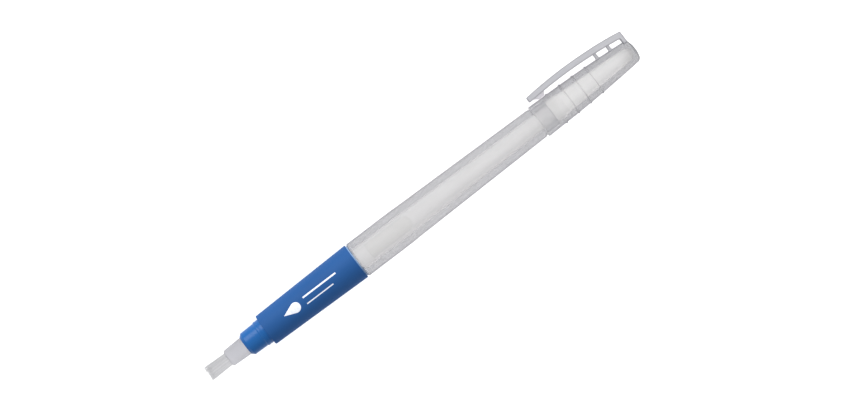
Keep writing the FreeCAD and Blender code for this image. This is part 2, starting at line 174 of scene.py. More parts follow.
RESERVOIR_END_X, RESERVOIR_END_R = 107.7 * MM, 5.27 * MM - WALL
PANEL_X, PANEL_END_X = 41.6 * MM, 58.2 * MM
PANEL_HALF = 2.75 * MM
PANEL_DEPTH = 0.2 * MM

# --- the cap's and clip's sizes -------------------------------------------------------

CAP_BORE_R = 4.58 * MM
CAP_MOUTH_R, CAP_FACE_R = 4.78 * MM, 5.5 * MM
CAP_FRONT_R, CAP_BEND_R = 5.72 * MM, 5.55 * MM
CAP_BEND_X = 118.0 * MM
CAP_BOW_X, CAP_BOW_R = 132.6 * MM, 5.0 * MM
CAP_BOW_LENGTH = 14.6 * MM
CROWN_X = CAP_END_X - 1.4 * MM
CAP_CORE_X = SPIGOT_END_X - 0.25 * MM
CAP_CORE_END_X = 147.2 * MM
CAVITY_X, CAVITY_R = 119.8 * MM, 4.15 * MM
CAVITY_END_X, CAVITY_END_R = 145.8 * MM, 2.6 * MM
RIB_XS = [(117.0 + 5.0 * i) * MM for i in range(4)]
RIB_PROUD = 0.33 * MM
RIB_HALF = 0.48 * MM
# Half width of the darker line on each rib: thicker plastic in part, painted shade in part.
RIB_LINE_HALF = 0.2 * MM
FINE_STEP, COARSE_STEP = 0.1 * MM, 0.4 * MM

ARM_END_X = 136.0 * MM
HEAD_END_X = 147.9 * MM
LEG_X, LEG_FOOT_Y = 146.5 * MM, 3.2 * MM
CLIP_HALF = 2.2 * MM
CLIP_FREE_R = 0.45 * MM
CLIP_FREE_X = CLIP_X + 2 * CLIP_FREE_R
CLIP_STEPS = 80
# The pad's outline under the clip's free end, as (x, y) in mm.
PAD = ((112.4, 7.0), (113.4, 6.35), (114.4, 5.72), (116.4, 5.72), (116.6, 6.1), (117.2, 7.0))
PAD_HALF = 1.3 * MM
WEB_XS = (137.05 * MM, 141.93 * MM)
WEB_HALF = 0.5 * MM
WEB_FLARE = 0.35 * MM
WEB_HALF_WIDTH = 1.4 * MM

# --- the studio's sizes and strengths -------------------------------------------------

FLOOR_Z = CAD_BOX[0].z - 0.05 * MM
FLOOR_HALF = 3.0
ROLL = math.radians(37.347)
AIM = Vector((66.05 * MM, 0, 0))
VIEW_WIDTH = 275.2 * MM
CAMERA_DISTANCE = 1.1
CAMERA_REACH = 10
SENSOR_WIDTH = 36

SOFTBOX_SIZE = 0.8
SOFTBOX_DISTANCE = 1.2
SOFTBOX_X = 20 * MM
SOFTBOX_AIM = Vector((66 * MM, 0, 0))
KEY_LEAN = math.radians(46)
GLOW_LEAN = math.radians(48)
KEY_WATTS = 18.5
TOP_WATTS = 14
GLOW_NEAR_WATTS = 13.8
GLOW_FAR_WATTS = 9.8
ROOM_STRENGTH = 0.72
FROSTED = ("barrel_skin", "barrel_inner", "barrel_spigot", "cap_skin", "cap_inner")
PALE = ("tuft_fibres", "ferrule_shell", "clip_bar", "clip_pad", "clip_web_0", "clip_web_1")


# --- the looks' colours and shares ----------------------------------------------------

# Each blue: low and high colour, low and high roughness, depth of the grain, gloss.
BLUES = {
    "nose_blue": ((0.01, 0.082, 0.262), (0.013, 0.091, 0.28), 0.26, 0.34, 0.001 * MM, 0.13),
    "grip_blue": ((0.015, 0.068, 0.207), (0.018, 0.075, 0.224), 0.5, 0.6, 0.004 * MM, 0.06),
    # The lip's paler blue is painted light, the glow of blue light spread at the joint.
    "lip_glow_blue": ((0.17, 0.28, 0.45), (0.19, 0.3, 0.48), 0.5, 0.6, 0.004 * MM, 0.06),
}
# Each film: low and high colour, see-through share, milky share, and gloss and open_to
# where they aren't the usual ones.
FILMS = {
    "barrel_film": ((0.24, 0.24, 0.26), (0.265, 0.265, 0.28), 0.5, 0.5),
    # The panel's floor and rim are a little darker: painted shade in the recessed squeeze
    # panel.
    "panel_shade_film": ((0.235, 0.235, 0.245), (0.26, 0.26, 0.265), 0.47, 0.5),
    "panel_step_shade_film": ((0.23, 0.23, 0.24), (0.255, 0.255, 0.265), 0.45, 0.5),
    # The shoulder's blue tint is painted bounce light from the blue grip.
    "shoulder_bounce_film": ((0.26, 0.29, 0.35), (0.29, 0.32, 0.38), 0.4, 0.5),
    "spigot_film": ((0.46, 0.46, 0.48), (0.5, 0.5, 0.51), 0.42, 0.5, 0.1, 0.7),
    "cap_film": ((0.22, 0.22, 0.24), (0.25, 0.25, 0.265), 0.45, 0.5),
    # The rib lines are darker, partly for the thicker plastic and partly as painted shade of
    # the rib slopes.
    "rib_line_shade_film": ((0.21, 0.21, 0.23), (0.24, 0.24, 0.255), 0.36, 0.48),
    "mouth_film": ((0.26, 0.26, 0.28), (0.29, 0.29, 0.3), 0.64, 0.5, 0.1, 0.2),
    "bore_film": ((0.32, 0.32, 0.34), (0.35, 0.35, 0.36), 0.95, 0.5),
    "end_film": ((0.5, 0.5, 0.52), (0.54, 0.54, 0.55), 0.5, 0.5),
    "clip_film": ((0.5, 0.5, 0.53), (0.55, 0.55, 0.57), 0.1, 0.45),
    # The clip's rims are darker: painted shade along the edges of its bar and webs.
    "clip_edge_shade_film": ((0.36, 0.36, 0.39), (0.41, 0.41, 0.43), 0.1, 0.45),
    "pad_film": ((0.6, 0.58, 0.62), (0.66, 0.64, 0.68), 0.35, 0.5),
    "ferrule_film": ((0.5, 0.5, 0.53), (0.56, 0.56, 0.58), 0.12, 0.4, 0.05),
}
# Each milky wall, whose pale colour is painted light spread across the hollow: low and high
# colour, and the ends darkened by painted shade.
CORES = {
    "white_core": ((0.86, 0.85, 0.83), (0.92, 0.91, 0.89)),
    "barrel_core": ((0.71, 0.7, 0.69), (0.76, 0.75, 0.74)),
    "cap_core": (
        (0.88, 0.87, 0.85),
        (0.94, 0.93, 0.91),
        # Painted shade at both ends of the cap's hollow.
        ((115.6 * MM, 119.6 * MM, 0.88), (147.4 * MM, 141.0 * MM, 0.74)),
    ),
}


# --- node helpers ---------------------------------------------------------------------


class Nodes:
    """A material's node tree, with short calls for the nodes used here."""

    def __init__(self, name):
        self.material = bpy.data.materials.new(name)
        self.material.use_nodes = True
        self.tree = self.material.node_tree
        self.tree.nodes.clear()
        self.out = self.tree.nodes.new("ShaderNodeOutputMaterial")

    def add(self, kind, **settings):
        """A new node, with each setting put on the input or the property of that name."""
        node = self.tree.nodes.new(f"ShaderNode{kind}")
        for name, value in settings.items():
            if name in node.inputs:
                node.inputs[name].default_value = value
            else:
                setattr(node, name, value)
        return node

    def link(self, start, end):
        """Joins an output to an input."""
        self.tree.links.new(start, end)

    def place(self, scale):
        """Object coordinates, stretched by scale on each axis."""
        coords = self.add("TexCoord")
        mapping = self.add("Mapping", Scale=scale)
        self.link(coords.outputs["Object"], mapping.inputs["Vector"])
        return mapping.outputs["Vector"]

    def noise(self, scale, detail):
        """Noise whose scale is in cycles per metre along each axis."""
        noise = self.add("TexNoise", Scale=1.0, Detail=detail, Roughness=0.5)
        self.link(self.place(scale), noise.inputs["Vector"])
        return noise.outputs["Fac"]

    def ramp(self, factor, low, high, start=0.3, end=0.7):
        """A colour that runs from low to high as the factor runs from start to end."""
        ramp = self.add("ValToRGB")
        ramp.color_ramp.elements[0].position = start
        ramp.color_ramp.elements[1].position = end
        ramp.color_ramp.elements[0].color = (*low, 1)
        ramp.color_ramp.elements[1].color = (*high, 1)
        self.link(factor, ramp.inputs["Fac"])
        return ramp.outputs["Color"]

    def map(self, value, start, end, low, high, curve="LINEAR"):
        """A number that runs from low to high as the value runs from start to end."""
        node = self.add("MapRange", interpolation_type=curve)
        node.inputs["From Min"].default_value = start
        node.inputs["From Max"].default_value = end
        node.inputs["To Min"].default_value = low
        node.inputs["To Max"].default_value = high
        self.link(value, node.inputs["Value"])
        return node.outputs["Result"]

    def range(self, factor, low, high):
        """A number that runs from low to high as the factor runs from 0.3 to 0.7."""
        return self.map(factor, 0.3, 0.7, low, high)

    def dim(self, colour, start, end, share):
        """The colour times a share at x = start and before it, full from x = end on."""
        coords = self.add("TexCoord")
        axes = self.add("SeparateXYZ")
        self.link(coords.outputs["Object"], axes.inputs["Vector"])
        level = self.map(axes.outputs["X"], start, end, share, 1.0, "SMOOTHSTEP")
        scaled = self.add("VectorMath", operation="SCALE")
        self.link(colour, scaled.inputs[0])
        self.link(level, scaled.inputs["Scale"])
        return scaled.outputs["Vector"]

    def bump(self, height, distance):
        """A normal roughened by the height, distance being how deep it goes."""
        node = self.add("Bump", Distance=distance, Strength=1.0)
        self.link(height, node.inputs["Height"])
        return node.outputs["Normal"]

    def open_up(self, surface, start, end, face_on, edge_on):
        """
        Finishes a material that is partly open to sight: by the face_on share where it is
        seen straight, and by the edge_on share where it is seen along its surface.
        """
        edge = self.add("LayerWeight", Blend=0.5)
        share = self.map(edge.outputs["Facing"], start, end, face_on, edge_on, "SMOOTHSTEP")
        clear = self.add("BsdfTransparent")
        mix = self.add("MixShader")
        self.link(share, mix.inputs[0])
        self.link(surface, mix.inputs[1])
        self.link(clear.outputs["BSDF"], mix.inputs[2])
        return self.finish(mix.outputs["Shader"])

    def finish(self, surface):
        """Puts the surface on the material's output and returns the material."""
        self.link(surface, self.out.inputs["Surface"])
        return self.material


# --- materials ------------------------------------------------------------------------


def blue_plastic(name, low, high, rough_low, rough_high, grain, gloss):
    """Moulded blue plastic: slightly uneven colour and gloss over a fine grain."""
    n = Nodes(name)
    cloud = n.noise((60, 160, 160), detail=4)
    fine = n.noise((2600, 2600, 2600), detail=2)
    shader = n.add("BsdfPrincipled")
    shader.inputs["Specular IOR Level"].default_value = gloss
    n.link(n.ramp(cloud, low, high), shader.inputs["Base Color"])
    n.link(n.range(cloud, rough_low, rough_high), shader.inputs["Roughness"])
    n.link(n.bump(fine, grain), shader.inputs["Normal"])
    return n.finish(shader.outputs["BSDF"])


def frosted_film(name, low, high, see_through, milky, gloss=0.1, open_to=0.45):
    """
    The skin of frosted plastic. It reflects softly, passes light on from behind (milky is
    that share of it) and is partly open to sight, less so where it is seen edge on,
    from open_to on.
    """
    n = Nodes(name)
    cloud = n.noise((20, 90, 90), detail=3)
    fine = n.noise((1800, 1800, 1800), detail=3)
    colour = n.ramp(cloud, low, high)
    skin = n.add("BsdfPrincipled")
    skin.inputs["Specular IOR Level"].default_value = gloss
    n.link(n.range(cloud, 0.42, 0.52), skin.inputs["Roughness"])
    n.link(colour, skin.inputs["Base Color"])
    n.link(n.bump(fine, 0.003 * MM), skin.inputs["Normal"])
    through = n.add("BsdfTranslucent")
    n.link(colour, through.inputs["Color"])
    body = n.add("MixShader", Fac=milky)
    n.link(skin.outputs["BSDF"], body.inputs[1])
    n.link(through.outputs["BSDF"], body.inputs[2])
    return n.open_up(body.outputs["Shader"], open_to, 1.0, see_through, see_through * 0.1)


def inner_wall(name, low, high, dims=()):
    """
    The wall's inner face, pale and milky: its pale colour is painted light, standing for light
    spread across the hollow. Seen edge on it turns clear. Each of dims paints shade on one end:
    the X where it is darkest, the X where it is over, and the share of light left.
    """
    n = Nodes(name)
    cloud = n.noise((50, 260, 260), detail=4)
    shader = n.add("BsdfPrincipled")
    shader.inputs["Specular IOR Level"].default_value = 0.1
    colour = n.ramp(cloud, low, high)
    # Painted shade darkens the ends of the hollow.
    for end_shade in dims:
        colour = n.dim(colour, *end_shade)
    n.link(colour, shader.inputs["Base Color"])
    n.link(n.range(cloud, 0.6, 0.8), shader.inputs["Roughness"])
    return n.open_up(shader.outputs["BSDF"], 0.12, 0.66, 0.0, 1.0)


def nylon_fibre():
    """White nylon filaments, each a slightly different shade, with a faint sheen."""
    n = Nodes("nylon_fibre")
    tint = n.add("Attribute", attribute_name="fibre_tint")
    streak = n.noise((120, 9000, 9000), detail=2)
    shader = n.add("BsdfPrincipled")
    shader.inputs["Subsurface Weight"].default_value = 0.2
    shader.inputs["Subsurface Radius"].default_value = (1.0, 1.0, 1.0)
    shader.inputs["Subsurface Scale"].default_value = 0.3 * MM
    shader.inputs["Sheen Weight"].default_value = 0.15
    mix = n.add("Mix", data_type="RGBA")
    mix.inputs["Factor"].default_value = 0.5
    shade = n.ramp(tint.outputs["Fac"], (0.33, 0.33, 0.345), (0.54, 0.54, 0.555), 0, 1)
    n.link(shade, mix.inputs["A"])
    n.link(n.ramp(streak, (0.4, 0.4, 0.41), (0.52, 0.52, 0.535)), mix.inputs["B"])
    n.link(mix.outputs["Result"], shader.inputs["Base Color"])
    n.link(n.range(streak, 0.34, 0.5), shader.inputs["Roughness"])
    return n.finish(shader.outputs["BSDF"])


def bonded_fibre():
    """The feed core: porous white fibre drawn along the axis."""
    n = Nodes("bonded_fibre")
    strand = n.noise((300, 5000, 5000), detail=4)
    shader = n.add("BsdfPrincipled")
    shader.inputs["Roughness"].default_value = 0.9
    n.link(n.ramp(strand, (0.55, 0.55, 0.52), (0.85, 0.85, 0.82)), shader.inputs["Base Color"])
    n.link(n.bump(strand, 0.05 * MM), shader.inputs["Normal"])
    return n.finish(shader.outputs["BSDF"])


def soft_silicone():
    """The sealing ring: cloudy silicone with a dusty skin."""
    n = Nodes("soft_silicone")
    cloud = n.noise((900, 900, 900), detail=4)
    shader = n.add("BsdfPrincipled")
    shader.inputs["Subsurface Weight"].default_value = 0.4
    shader.inputs["Subsurface Radius"].default_value = (1.0, 1.0, 1.0)
    shader.inputs["Subsurface Scale"].default_value = 0.5 * MM
    n.link(n.ramp(cloud, (0.5, 0.5, 0.52), (0.64, 0.64, 0.66)), shader.inputs["Base Color"])
    n.link(n.range(cloud, 0.5, 0.65), shader.inputs["Roughness"])
    return n.finish(shader.outputs["BSDF"])


def print_ink():
    """White pad-printed ink, a little thin in places."""
    n = Nodes("print_ink")
    wear = n.noise((1500, 1500, 1500), detail=4)
    shader = n.add("BsdfPrincipled")
    n.link(n.ramp(wear, (0.58, 0.6, 0.67), (0.72, 0.74, 0.8)), shader.inputs["Base Color"])
    n.link(n.range(wear, 0.4, 0.55), shader.inputs["Roughness"])
    return n.finish(shader.outputs["BSDF"])


def floor_paint():
    """Seamless studio paper."""
    n = Nodes("floor_paint")
    fibre = n.noise((400, 400, 400), detail=4)
    shader = n.add("BsdfPrincipled")
    shader.inputs["Specular IOR Level"].default_value = 0.0
    n.link(n.ramp(fibre, (0.93, 0.93, 0.93), (0.95, 0.95, 0.95)), shader.inputs["Base Color"])
    n.link(n.range(fibre, 0.9, 1.0), shader.inputs["Roughness"])
    return n.finish(shader.outputs["BSDF"])


# --- mesh helpers ---------------------------------------------------------------------


def add_piece(name, mesh, materials, body=None, replaced=()):
    """Links a mesh as a piece that rides on a body and stands for its CAD nodes."""
    piece = bpy.data.objects.new(name, mesh)
    bpy.context.scene.collection.objects.link(piece)
    for material in materials:
        mesh.materials.append(material)
    if body:
        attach(piece, body)
    if replaced:
        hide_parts(*replaced)
    return piece


def rounded(profile, closed):
    """A profile of (x, r) or (x, r, fillet) points, with each filleted corner a short curve."""
    points = []
    count = len(profile)
    for i, entry in enumerate(profile):
        here = Vector(entry[:2])
        fillet = entry[2] if len(entry) > 2 else 0.0
        if fillet <= 0 or (not closed and i in (0, count - 1)):
            points.append(here)
            continue
        back = Vector(profile[i - 1][:2]) - here
        ahead = Vector(profile[(i + 1) % count][:2]) - here
        reach = fillet / math.tan(back.angle(ahead) / 2)
        reach = min(reach, back.length * 0.49, ahead.length * 0.49)
        start = here + back.normalized() * reach
        end = here + ahead.normalized() * reach
        for k in range(FILLET_STEPS + 1):
            t = k / FILLET_STEPS
            points.append(start * (1 - t) ** 2 + here * 2 * t * (1 - t) + end * t * t)
    return points


def lathe(name, profile, closed=True, shape=None):
    """Turns a profile about X. shape(x, r, angle) may return another radius."""
    bm = bmesh.new()
    rows = []
    for x, r in rounded(profile, closed):
        if r < 1e-7:
            rows.append([bm.verts.new((x, 0, 0))])
            continue
        row = []
        for k in range(RING):
            a = 2 * math.pi * k / RING
            reach = shape(x, r, a) if shape else r
            row.append(bm.verts.new((x, reach * math.cos(a), reach * math.sin(a))))
        rows.append(row)
    pairs = list(zip(rows, rows[1:]))
    if closed:
        pairs.append((rows[-1], rows[0]))
    for a, b in pairs:
        if len(a) == 1 and len(b) == 1:
            continue
        for k in range(RING):
            j = (k + 1) % RING
            if len(a) == 1:
                bm.faces.new((a[0], b[k], b[j]))
            elif len(b) == 1:
                bm.faces.new((a[k], b[0], a[j]))
            else:
                bm.faces.new((a[k], b[k], b[j], a[j]))
    return finish_mesh(bm, name)


def finish_mesh(bm, name, sharp=35):
    """A mesh with outward normals, smooth but for edges sharper than the given angle."""
    bmesh.ops.recalc_face_normals(bm, faces=bm.faces)
    mesh = bpy.data.meshes.new(name)
    bm.to_mesh(mesh)
    bm.free()
    for polygon in mesh.polygons:
        polygon.use_smooth = True
    mesh.set_sharp_from_angle(angle=math.radians(sharp))
    return mesh


def along(start, end, steps):
    """Evenly spaced numbers from start to end."""
    return [start + (end - start) * k / (steps - 1) for k in range(steps)]


def smoothstep(low, high, value):
    """0 up to low and 1 from high on, with an S-shaped rise between them."""
    t = min(1.0, max(0.0, (value - low) / (high - low)))
    return t * t * (3 - 2 * t)


# --- tip ------------------------------------------------------------------------------


def cut_back(rng, y_share, z_share):
    """How many mm short of the tip a filament ends: ragged, clumped and rounded in Z."""
    clump = math.sin(y_share * 9.0) * 0.18 + math.sin(y_share * 23.0) * 0.1
    cut = abs(rng.gauss(0, CUT_SPREAD)) + clump * 0.1 + 0.6 * abs(z_share) ** 1.5
    if rng.random() < STRAY_SHARE:
        cut += rng.uniform(0.3, 0.9)
    return min(CUT_MOST, max(0.0, cut))


def add_fibre(bm, tint, rng, y, z, tip_x):
    """One filament rooted at (y, z): pinched by the mouth, tapered, leaning and wavy."""
    lean_y, lean_z = rng.gauss(0, LEAN_Y) * MM, rng.gauss(0, LEAN_Z) * MM
    wave = rng.uniform(0, 2 * math.pi)
    shade = rng.random()
    rings = []
    for t in along(0.0, 1.0, FIBRE_STEPS):
        x = FIBRE_ROOT_X + (tip_x - FIBRE_ROOT_X) * t
        pinch = 1 - 0.035 * smoothstep(0.0, 0.4, 1 - t) + 0.11 * t
        free = t * t
        cy = y * pinch + lean_y * free + math.sin(wave + t * 5) * 0.018 * MM * free
        cz = z * pinch + lean_z * free + math.cos(wave + t * 4) * 0.015 * MM * free
        r = FIBRE_R * (1 - 0.7 * smoothstep(0.8, 1.0, t))
        ring = []
        for side in range(FIBRE_SIDES):
            a = 2 * math.pi * side / FIBRE_SIDES + wave
            v = bm.verts.new((x, cy + r * math.cos(a), cz + r * math.sin(a)))
            v[tint] = shade
            ring.append(v)
        rings.append(ring)
    for a, b in zip(rings, rings[1:]):
        for side in range(FIBRE_SIDES):
            j = (side + 1) % FIBRE_SIDES
            bm.faces.new((a[side], a[j], b[j], b[side]))
    bm.faces.new(rings[0][::-1])
    bm.faces.new(rings[-1])


def make_tuft(material):
    """The tuft: some 250 filaments packed in a flat block, with uneven cut ends."""
    rng = random.Random(SEED)
    half_width = (TUFT_HIGH.y - TUFT_LOW.y) / 2 - FIBRE_R
    half_thickness = (TUFT_HIGH.z - TUFT_LOW.z) / 2 - FIBRE_R
    bm = bmesh.new()
    tint = bm.verts.layers.float.new("fibre_tint")
    rows = int(2 * half_thickness / (FIBRE_PITCH * math.sqrt(0.75))) + 1
    for row in range(rows):
        z = -half_thickness + 2 * half_thickness * row / (rows - 1)
        z_share = z / half_thickness
        end_round = half_thickness * (1 - math.sqrt(max(0.0, 1 - z_share ** 2)))
        reach = half_width - end_round * 0.8
        count = int(2 * reach / FIBRE_PITCH) + 1
        for column in range(count):
            y = -reach + 2 * reach * (column + 0.5 * (row % 2)) / count
            tip_x = TIP_X + cut_back(rng, y / half_width, z_share) * MM
            add_fibre(bm, tint, rng, y, z, tip_x)
    mesh = finish_mesh(bm, "tuft_fibres", 65)
    add_piece("tuft_fibres", mesh, [material], "front_section", ["bristle_tuft"])


def superellipse(angle, half_width, half_thickness, power):
    """A point of a rounded cross-section; power 2 is an ellipse, higher is squarer."""
    c, s = math.cos(angle), math.sin(angle)
    y = math.copysign(abs(c) ** (2 / power), c) * half_width
    z = math.copysign(abs(s) ** (2 / power), s) * half_thickness
    return y, z


def loft(name, sections):
    """A closed skin through (x, half_width, half_thickness, power) sections, end to end."""
    bm = bmesh.new()
    rows = []
    for x, half_width, half_thickness, power in sections:
        row = []
        for k in range(RING):
            y, z = superellipse(2 * math.pi * k / RING, half_width, half_thickness, power)
            row.append(bm.verts.new((x, y, z)))
        rows.append(row)
    for a, b in zip(rows, rows[1:] + rows[:1]):
        for k in range(RING):
            j = (k + 1) % RING
            bm.faces.new((a[k], b[k], b[j], a[j]))
    return finish_mesh(bm, name)


def make_ferrule(material):
    """The tuft's holder: a flat mouth that swells to a round shank, hollow all the way."""
    slot = (TUFT_HIGH.y + TUFT_GAP, TUFT_HIGH.z + TUFT_GAP, 4)
    sections = [(MOUTH_X + past, width, depth, power) for past, width, depth, power in MOUTH]
    x, width, depth, power = sections[-1]
    for k in range(1, SWELL_STEPS + 1):
        t = k / SWELL_STEPS
        s = smoothstep(0, 1, t)
        sections.append(
            (
                x + (NOSE_X - x) * t,
                width + (SHANK_R - width) * (1 - (1 - t) ** 1.5),
                depth + (SHANK_R - depth) * s,
                power + (2 - power) * s,
            )
        )
    sections += [
        (FLANGE_X, SHANK_R, SHANK_R, 2),
        (FLANGE_X, FLANGE_R, FLANGE_R, 2),
        (FERRULE_END_X, FLANGE_R, FLANGE_R, 2),
        (FERRULE_END_X, FEED_BORE_R, FEED_BORE_R, 2),
        (FEED_BORE_X, FEED_BORE_R, FEED_BORE_R, 2),
        (FEED_BORE_X, *slot),
        (MOUTH_X + 0.05 * MM, *slot),
    ]
    mesh = loft("ferrule_shell", sections)
    add_piece("ferrule_shell", mesh, [material], "front_section", ["ferrule"])


# --- front section --------------------------------------------------------------------


def make_nose(material):
    """The gloss nose with its lead-in, capping land and bead, and the tube behind it."""
    profile = [
        (NOSE_LIP_X, NOSE_BORE_R, 0.03 * MM),
        (NOSE_LIP_X, NOSE_LIP_R, 0.08 * MM),
        (NOSE_CONE_X, NOSE_CONE_R, 0.22 * MM),
        (GRIP_X - 2.25 * MM, NOSE_END_R, 0.1 * MM),
        (GRIP_X - 2.0 * MM, BEAD_R, 0.12 * MM),
        (GRIP_X - 1.45 * MM, BEAD_R, 0.12 * MM),
        (GRIP_X - 1.3 * MM, LAND_R - 0.06 * MM, 0.05 * MM),
        (GRIP_X - 0.9 * MM, LAND_R, 0.1 * MM),
        (GRIP_X + 0.05 * MM, LAND_R),
        (GRIP_X + 0.05 * MM, TUBE_R),
        (TUBE_END_X, TUBE_R, 0.15 * MM),
        (TUBE_END_X, SOCKET_R, 0.1 * MM),
        (SOCKET_X, SOCKET_R),
        (SOCKET_X, CHAMBER_R),
        (CHAMBER_X, CHAMBER_R),
        (CHAMBER_X, FLANGE_BORE_R),
        (FLANGE_SEAT_X, FLANGE_BORE_R),
        (FLANGE_SEAT_X, NOSE_BORE_R),
    ]
    mesh = lathe("nose_shell", profile)
    add_piece("nose_shell", mesh, [material], "front_section", ["nose_section"])


def make_grip(material, lip_glow_material):
    """The satin sleeve, a little wider towards the barrel, with a lip at the joint whose paler
    blue is painted light: the glow of blue light spread into the frosted shoulder.
    """
    profile = [
        (GRIP_X, GRIP_BORE_R),
        (GRIP_X, GRIP_FRONT_R, 0.28 * MM),
        (SLEEVE_END_X, GRIP_R, 0.12 * MM),
        (SLEEVE_END_X, LIP_R),
        (LIP_END_X, LIP_END_R),
        (LIP_END_X, GRIP_BORE_R),
    ]
    mesh = lathe("grip_shell", profile)
    for polygon in mesh.polygons:
        # The lip's faces take slot 1, the paler blue of painted glow at the joint.
        polygon.material_index = int(polygon.center.x > SLEEVE_END_X + 0.01 * MM)
    materials = [material, lip_glow_material]
    add_piece("grip_shell", mesh, materials, "front_section", ["grip_sleeve"])


def grip_radius(x):
    """The sleeve's radius at x, between its rounded ends."""
    share = (x - GRIP_X) / (GRIP_END_X - GRIP_X)
    return GRIP_FRONT_R + (GRIP_R - GRIP_FRONT_R) * share


def on_grip(x, across):
    """A point of the print on the grip's +Z side, across being the distance round it."""
    r = grip_radius(x) + INK_LIFT
    a = across / r
    return x, r * math.sin(a), r * math.cos(a)


def ink_patch(bm, outline, rings=7):
    """A filled patch of print inside an (x, across) outline, built out from its middle."""
    cx = sum(p[0] for p in outline) / len(outline)
    cy = sum(p[1] for p in outline) / len(outline)
    rows = []
    for k in range(1, rings + 1):
        t = k / rings
        row = [bm.verts.new(on_grip(cx + (x - cx) * t, cy + (y - cy) * t)) for x, y in outline]
        rows.append(row)
    middle = bm.verts.new(on_grip(cx, cy))
    count = len(outline)
    for i in range(count):
        j = (i + 1) % count
        bm.faces.new((middle, rows[0][i], rows[0][j]))
        for a, b in zip(rows, rows[1:]):
            bm.faces.new((a[i], b[i], b[j], a[j]))


def droplet():
    """A droplet's (x, across) outline: two straight sides that touch a round end."""
    lean = math.degrees(math.acos(DROP_R / (DROP_X - DROP_TIP_X)))
    round_end = arc((DROP_X, 0), DROP_R, 180 - lean, lean - 180, 40)
    touch_x, touch_y = round_end[0]
    side = []
    for k in range(DROP_SIDE_STEPS):
        t = k / DROP_SIDE_STEPS
        side.append((DROP_TIP_X + (touch_x - DROP_TIP_X) * t, touch_y * t))
    return side + round_end + [(x, -y) for x, y in reversed(side[1:])]


def make_print(material):
    """A plain droplet and two plain bars, printed in white."""
    bm = bmesh.new()
    ink_patch(bm, droplet())
    for start, end, low, high in BARS:
        sides = [(x * MM, high * MM) for x in along(start, end, 24)]
        sides += [(x * MM, low * MM) for x in along(end, start, 24)]
        ink_patch(bm, sides)
    mesh = finish_mesh(bm, "grip_print")
    add_piece("grip_print", mesh, [material], "front_section")


# --- barrel ---------------------------------------------------------------------------


def panel_dip(x, across):
    """How deep the squeeze panel is: square at its front, round at its rear."""
    centre_x = PANEL_END_X - PANEL_HALF
    if x > centre_x:
        edge = PANEL_HALF - math.hypot(x - centre_x, across)
    else:
        edge = min(PANEL_HALF - abs(across), x - PANEL_X)
    return PANEL_DEPTH * smoothstep(-0.12 * MM, 0.3 * MM, edge)


def barrel_radius(x, r, a):
    """The outer wall's radius, dipped where the squeeze panel is on the +Z side."""
    if math.sin(a) > 0 and PANEL_X - MM < x < PANEL_END_X + MM and r > 5.5 * MM:
        return r - panel_dip(x, r * math.asin(max(-1, min(1, math.cos(a)))))
    return r


def skin_slot(centre):
    """The film slot of a face: 0 body, 1 panel floor, 2 panel rim, 3 shoulder, 4 tail end. The
    panel's floor and rim carry painted shade, and the shoulder carries painted blue bounce
    light.
    """
    if centre.x > BARREL_END_X - 0.15 * MM:
        return 4
    if BARREL_X - 0.01 * MM < centre.x < SHOULDER_END_X:
        return 3
    if centre.z < 0 or not PANEL_X - MM < centre.x < PANEL_END_X + MM:
        return 0
    depth = panel_dip(centre.x, centre.yz.length * math.atan2(centre.y, centre.z)) / PANEL_DEPTH
    if depth > 0.9:
        return 1
    return 2 if depth > 0.1 else 0


def make_barrel(films, core, spigot_film):
    """The squeeze barrel: neck, long body with its panel and tapered tail, closed spigot."""
    neck = [
        (NECK_X, NECK_BORE_R),
        (NECK_X, NECK_R, 0.2 * MM),
        (COLLAR_X, NECK_R),
        (COLLAR_X, COLLAR_R, 0.2 * MM),
        (BARREL_X, COLLAR_R),
        (BARREL_X, 5.75 * MM, 0.05 * MM),
        (BARREL_X + 0.2 * MM, 6.02 * MM, 0.1 * MM),
        (SHOULDER_END_X, BODY_R, 0.1 * MM),
        (BARREL_X + 0.6 * MM, BODY_R),
    ]
    body = [(x, BODY_R) for x in along(BODY_X, WAIST_X, 60)]
    for x in along(WAIST_X + 0.3 * MM, WAIST_END_X, 20):
        body.append((x, BODY_R - (BODY_R - WAIST_R) * smoothstep(WAIST_X, WAIST_END_X, x)))
    tail = [
        (TAIL_X, TAIL_R, 0.2 * MM),
        (TAIL_STEP_X, TAIL_STEP_R, 0.1 * MM),
        (BARREL_END_X, TAIL_END_R, 0.05 * MM),
        (BARREL_END_X, SPIGOT_R),
    ]
    spigot = [
        (BARREL_END_X, SPIGOT_R),
        (SPIGOT_END_X, SPIGOT_R, 0.6 * MM),
        (SPIGOT_END_X, 0.0),
    ]
    hollow = [
        (SPIGOT_FLOOR_X, 0.0),
        (SPIGOT_FLOOR_X, SPIGOT_BORE_R, 0.4 * MM),
        (SPIGOT_BORE_X, SPIGOT_BORE_R),
        (RESERVOIR_END_X, RESERVOIR_END_R, 0.5 * MM),
        (WAIST_END_X - 0.5 * MM, WAIST_R - WALL),
        (WAIST_X + 0.4 * MM, RESERVOIR_R),
        (PANEL_X + 0.2 * MM, RESERVOIR_R),
        (PANEL_X - 0.4 * MM, RESERVOIR_R + 0.25 * MM),
        (RESERVOIR_X + 0.2 * MM, RESERVOIR_R + 0.2 * MM, 0.3 * MM),
        (RESERVOIR_X, NECK_BORE_R, 0.3 * MM),
        (NECK_X, NECK_BORE_R),
    ]
    skin = lathe("barrel_skin", neck + body + tail, False, barrel_radius)
    for polygon in skin.polygons:
        polygon.material_index = skin_slot(polygon.center)
    for name, mesh, materials in (
        ("barrel_skin", skin, films),
        ("barrel_inner", lathe("barrel_inner", hollow, False), [core]),
        ("barrel_spigot", lathe("barrel_spigot", spigot, False), [spigot_film]),
    ):
        add_piece(name, mesh, materials, "barrel", ["barrel"])


# --- cap and clip ---------------------------------------------------------------------


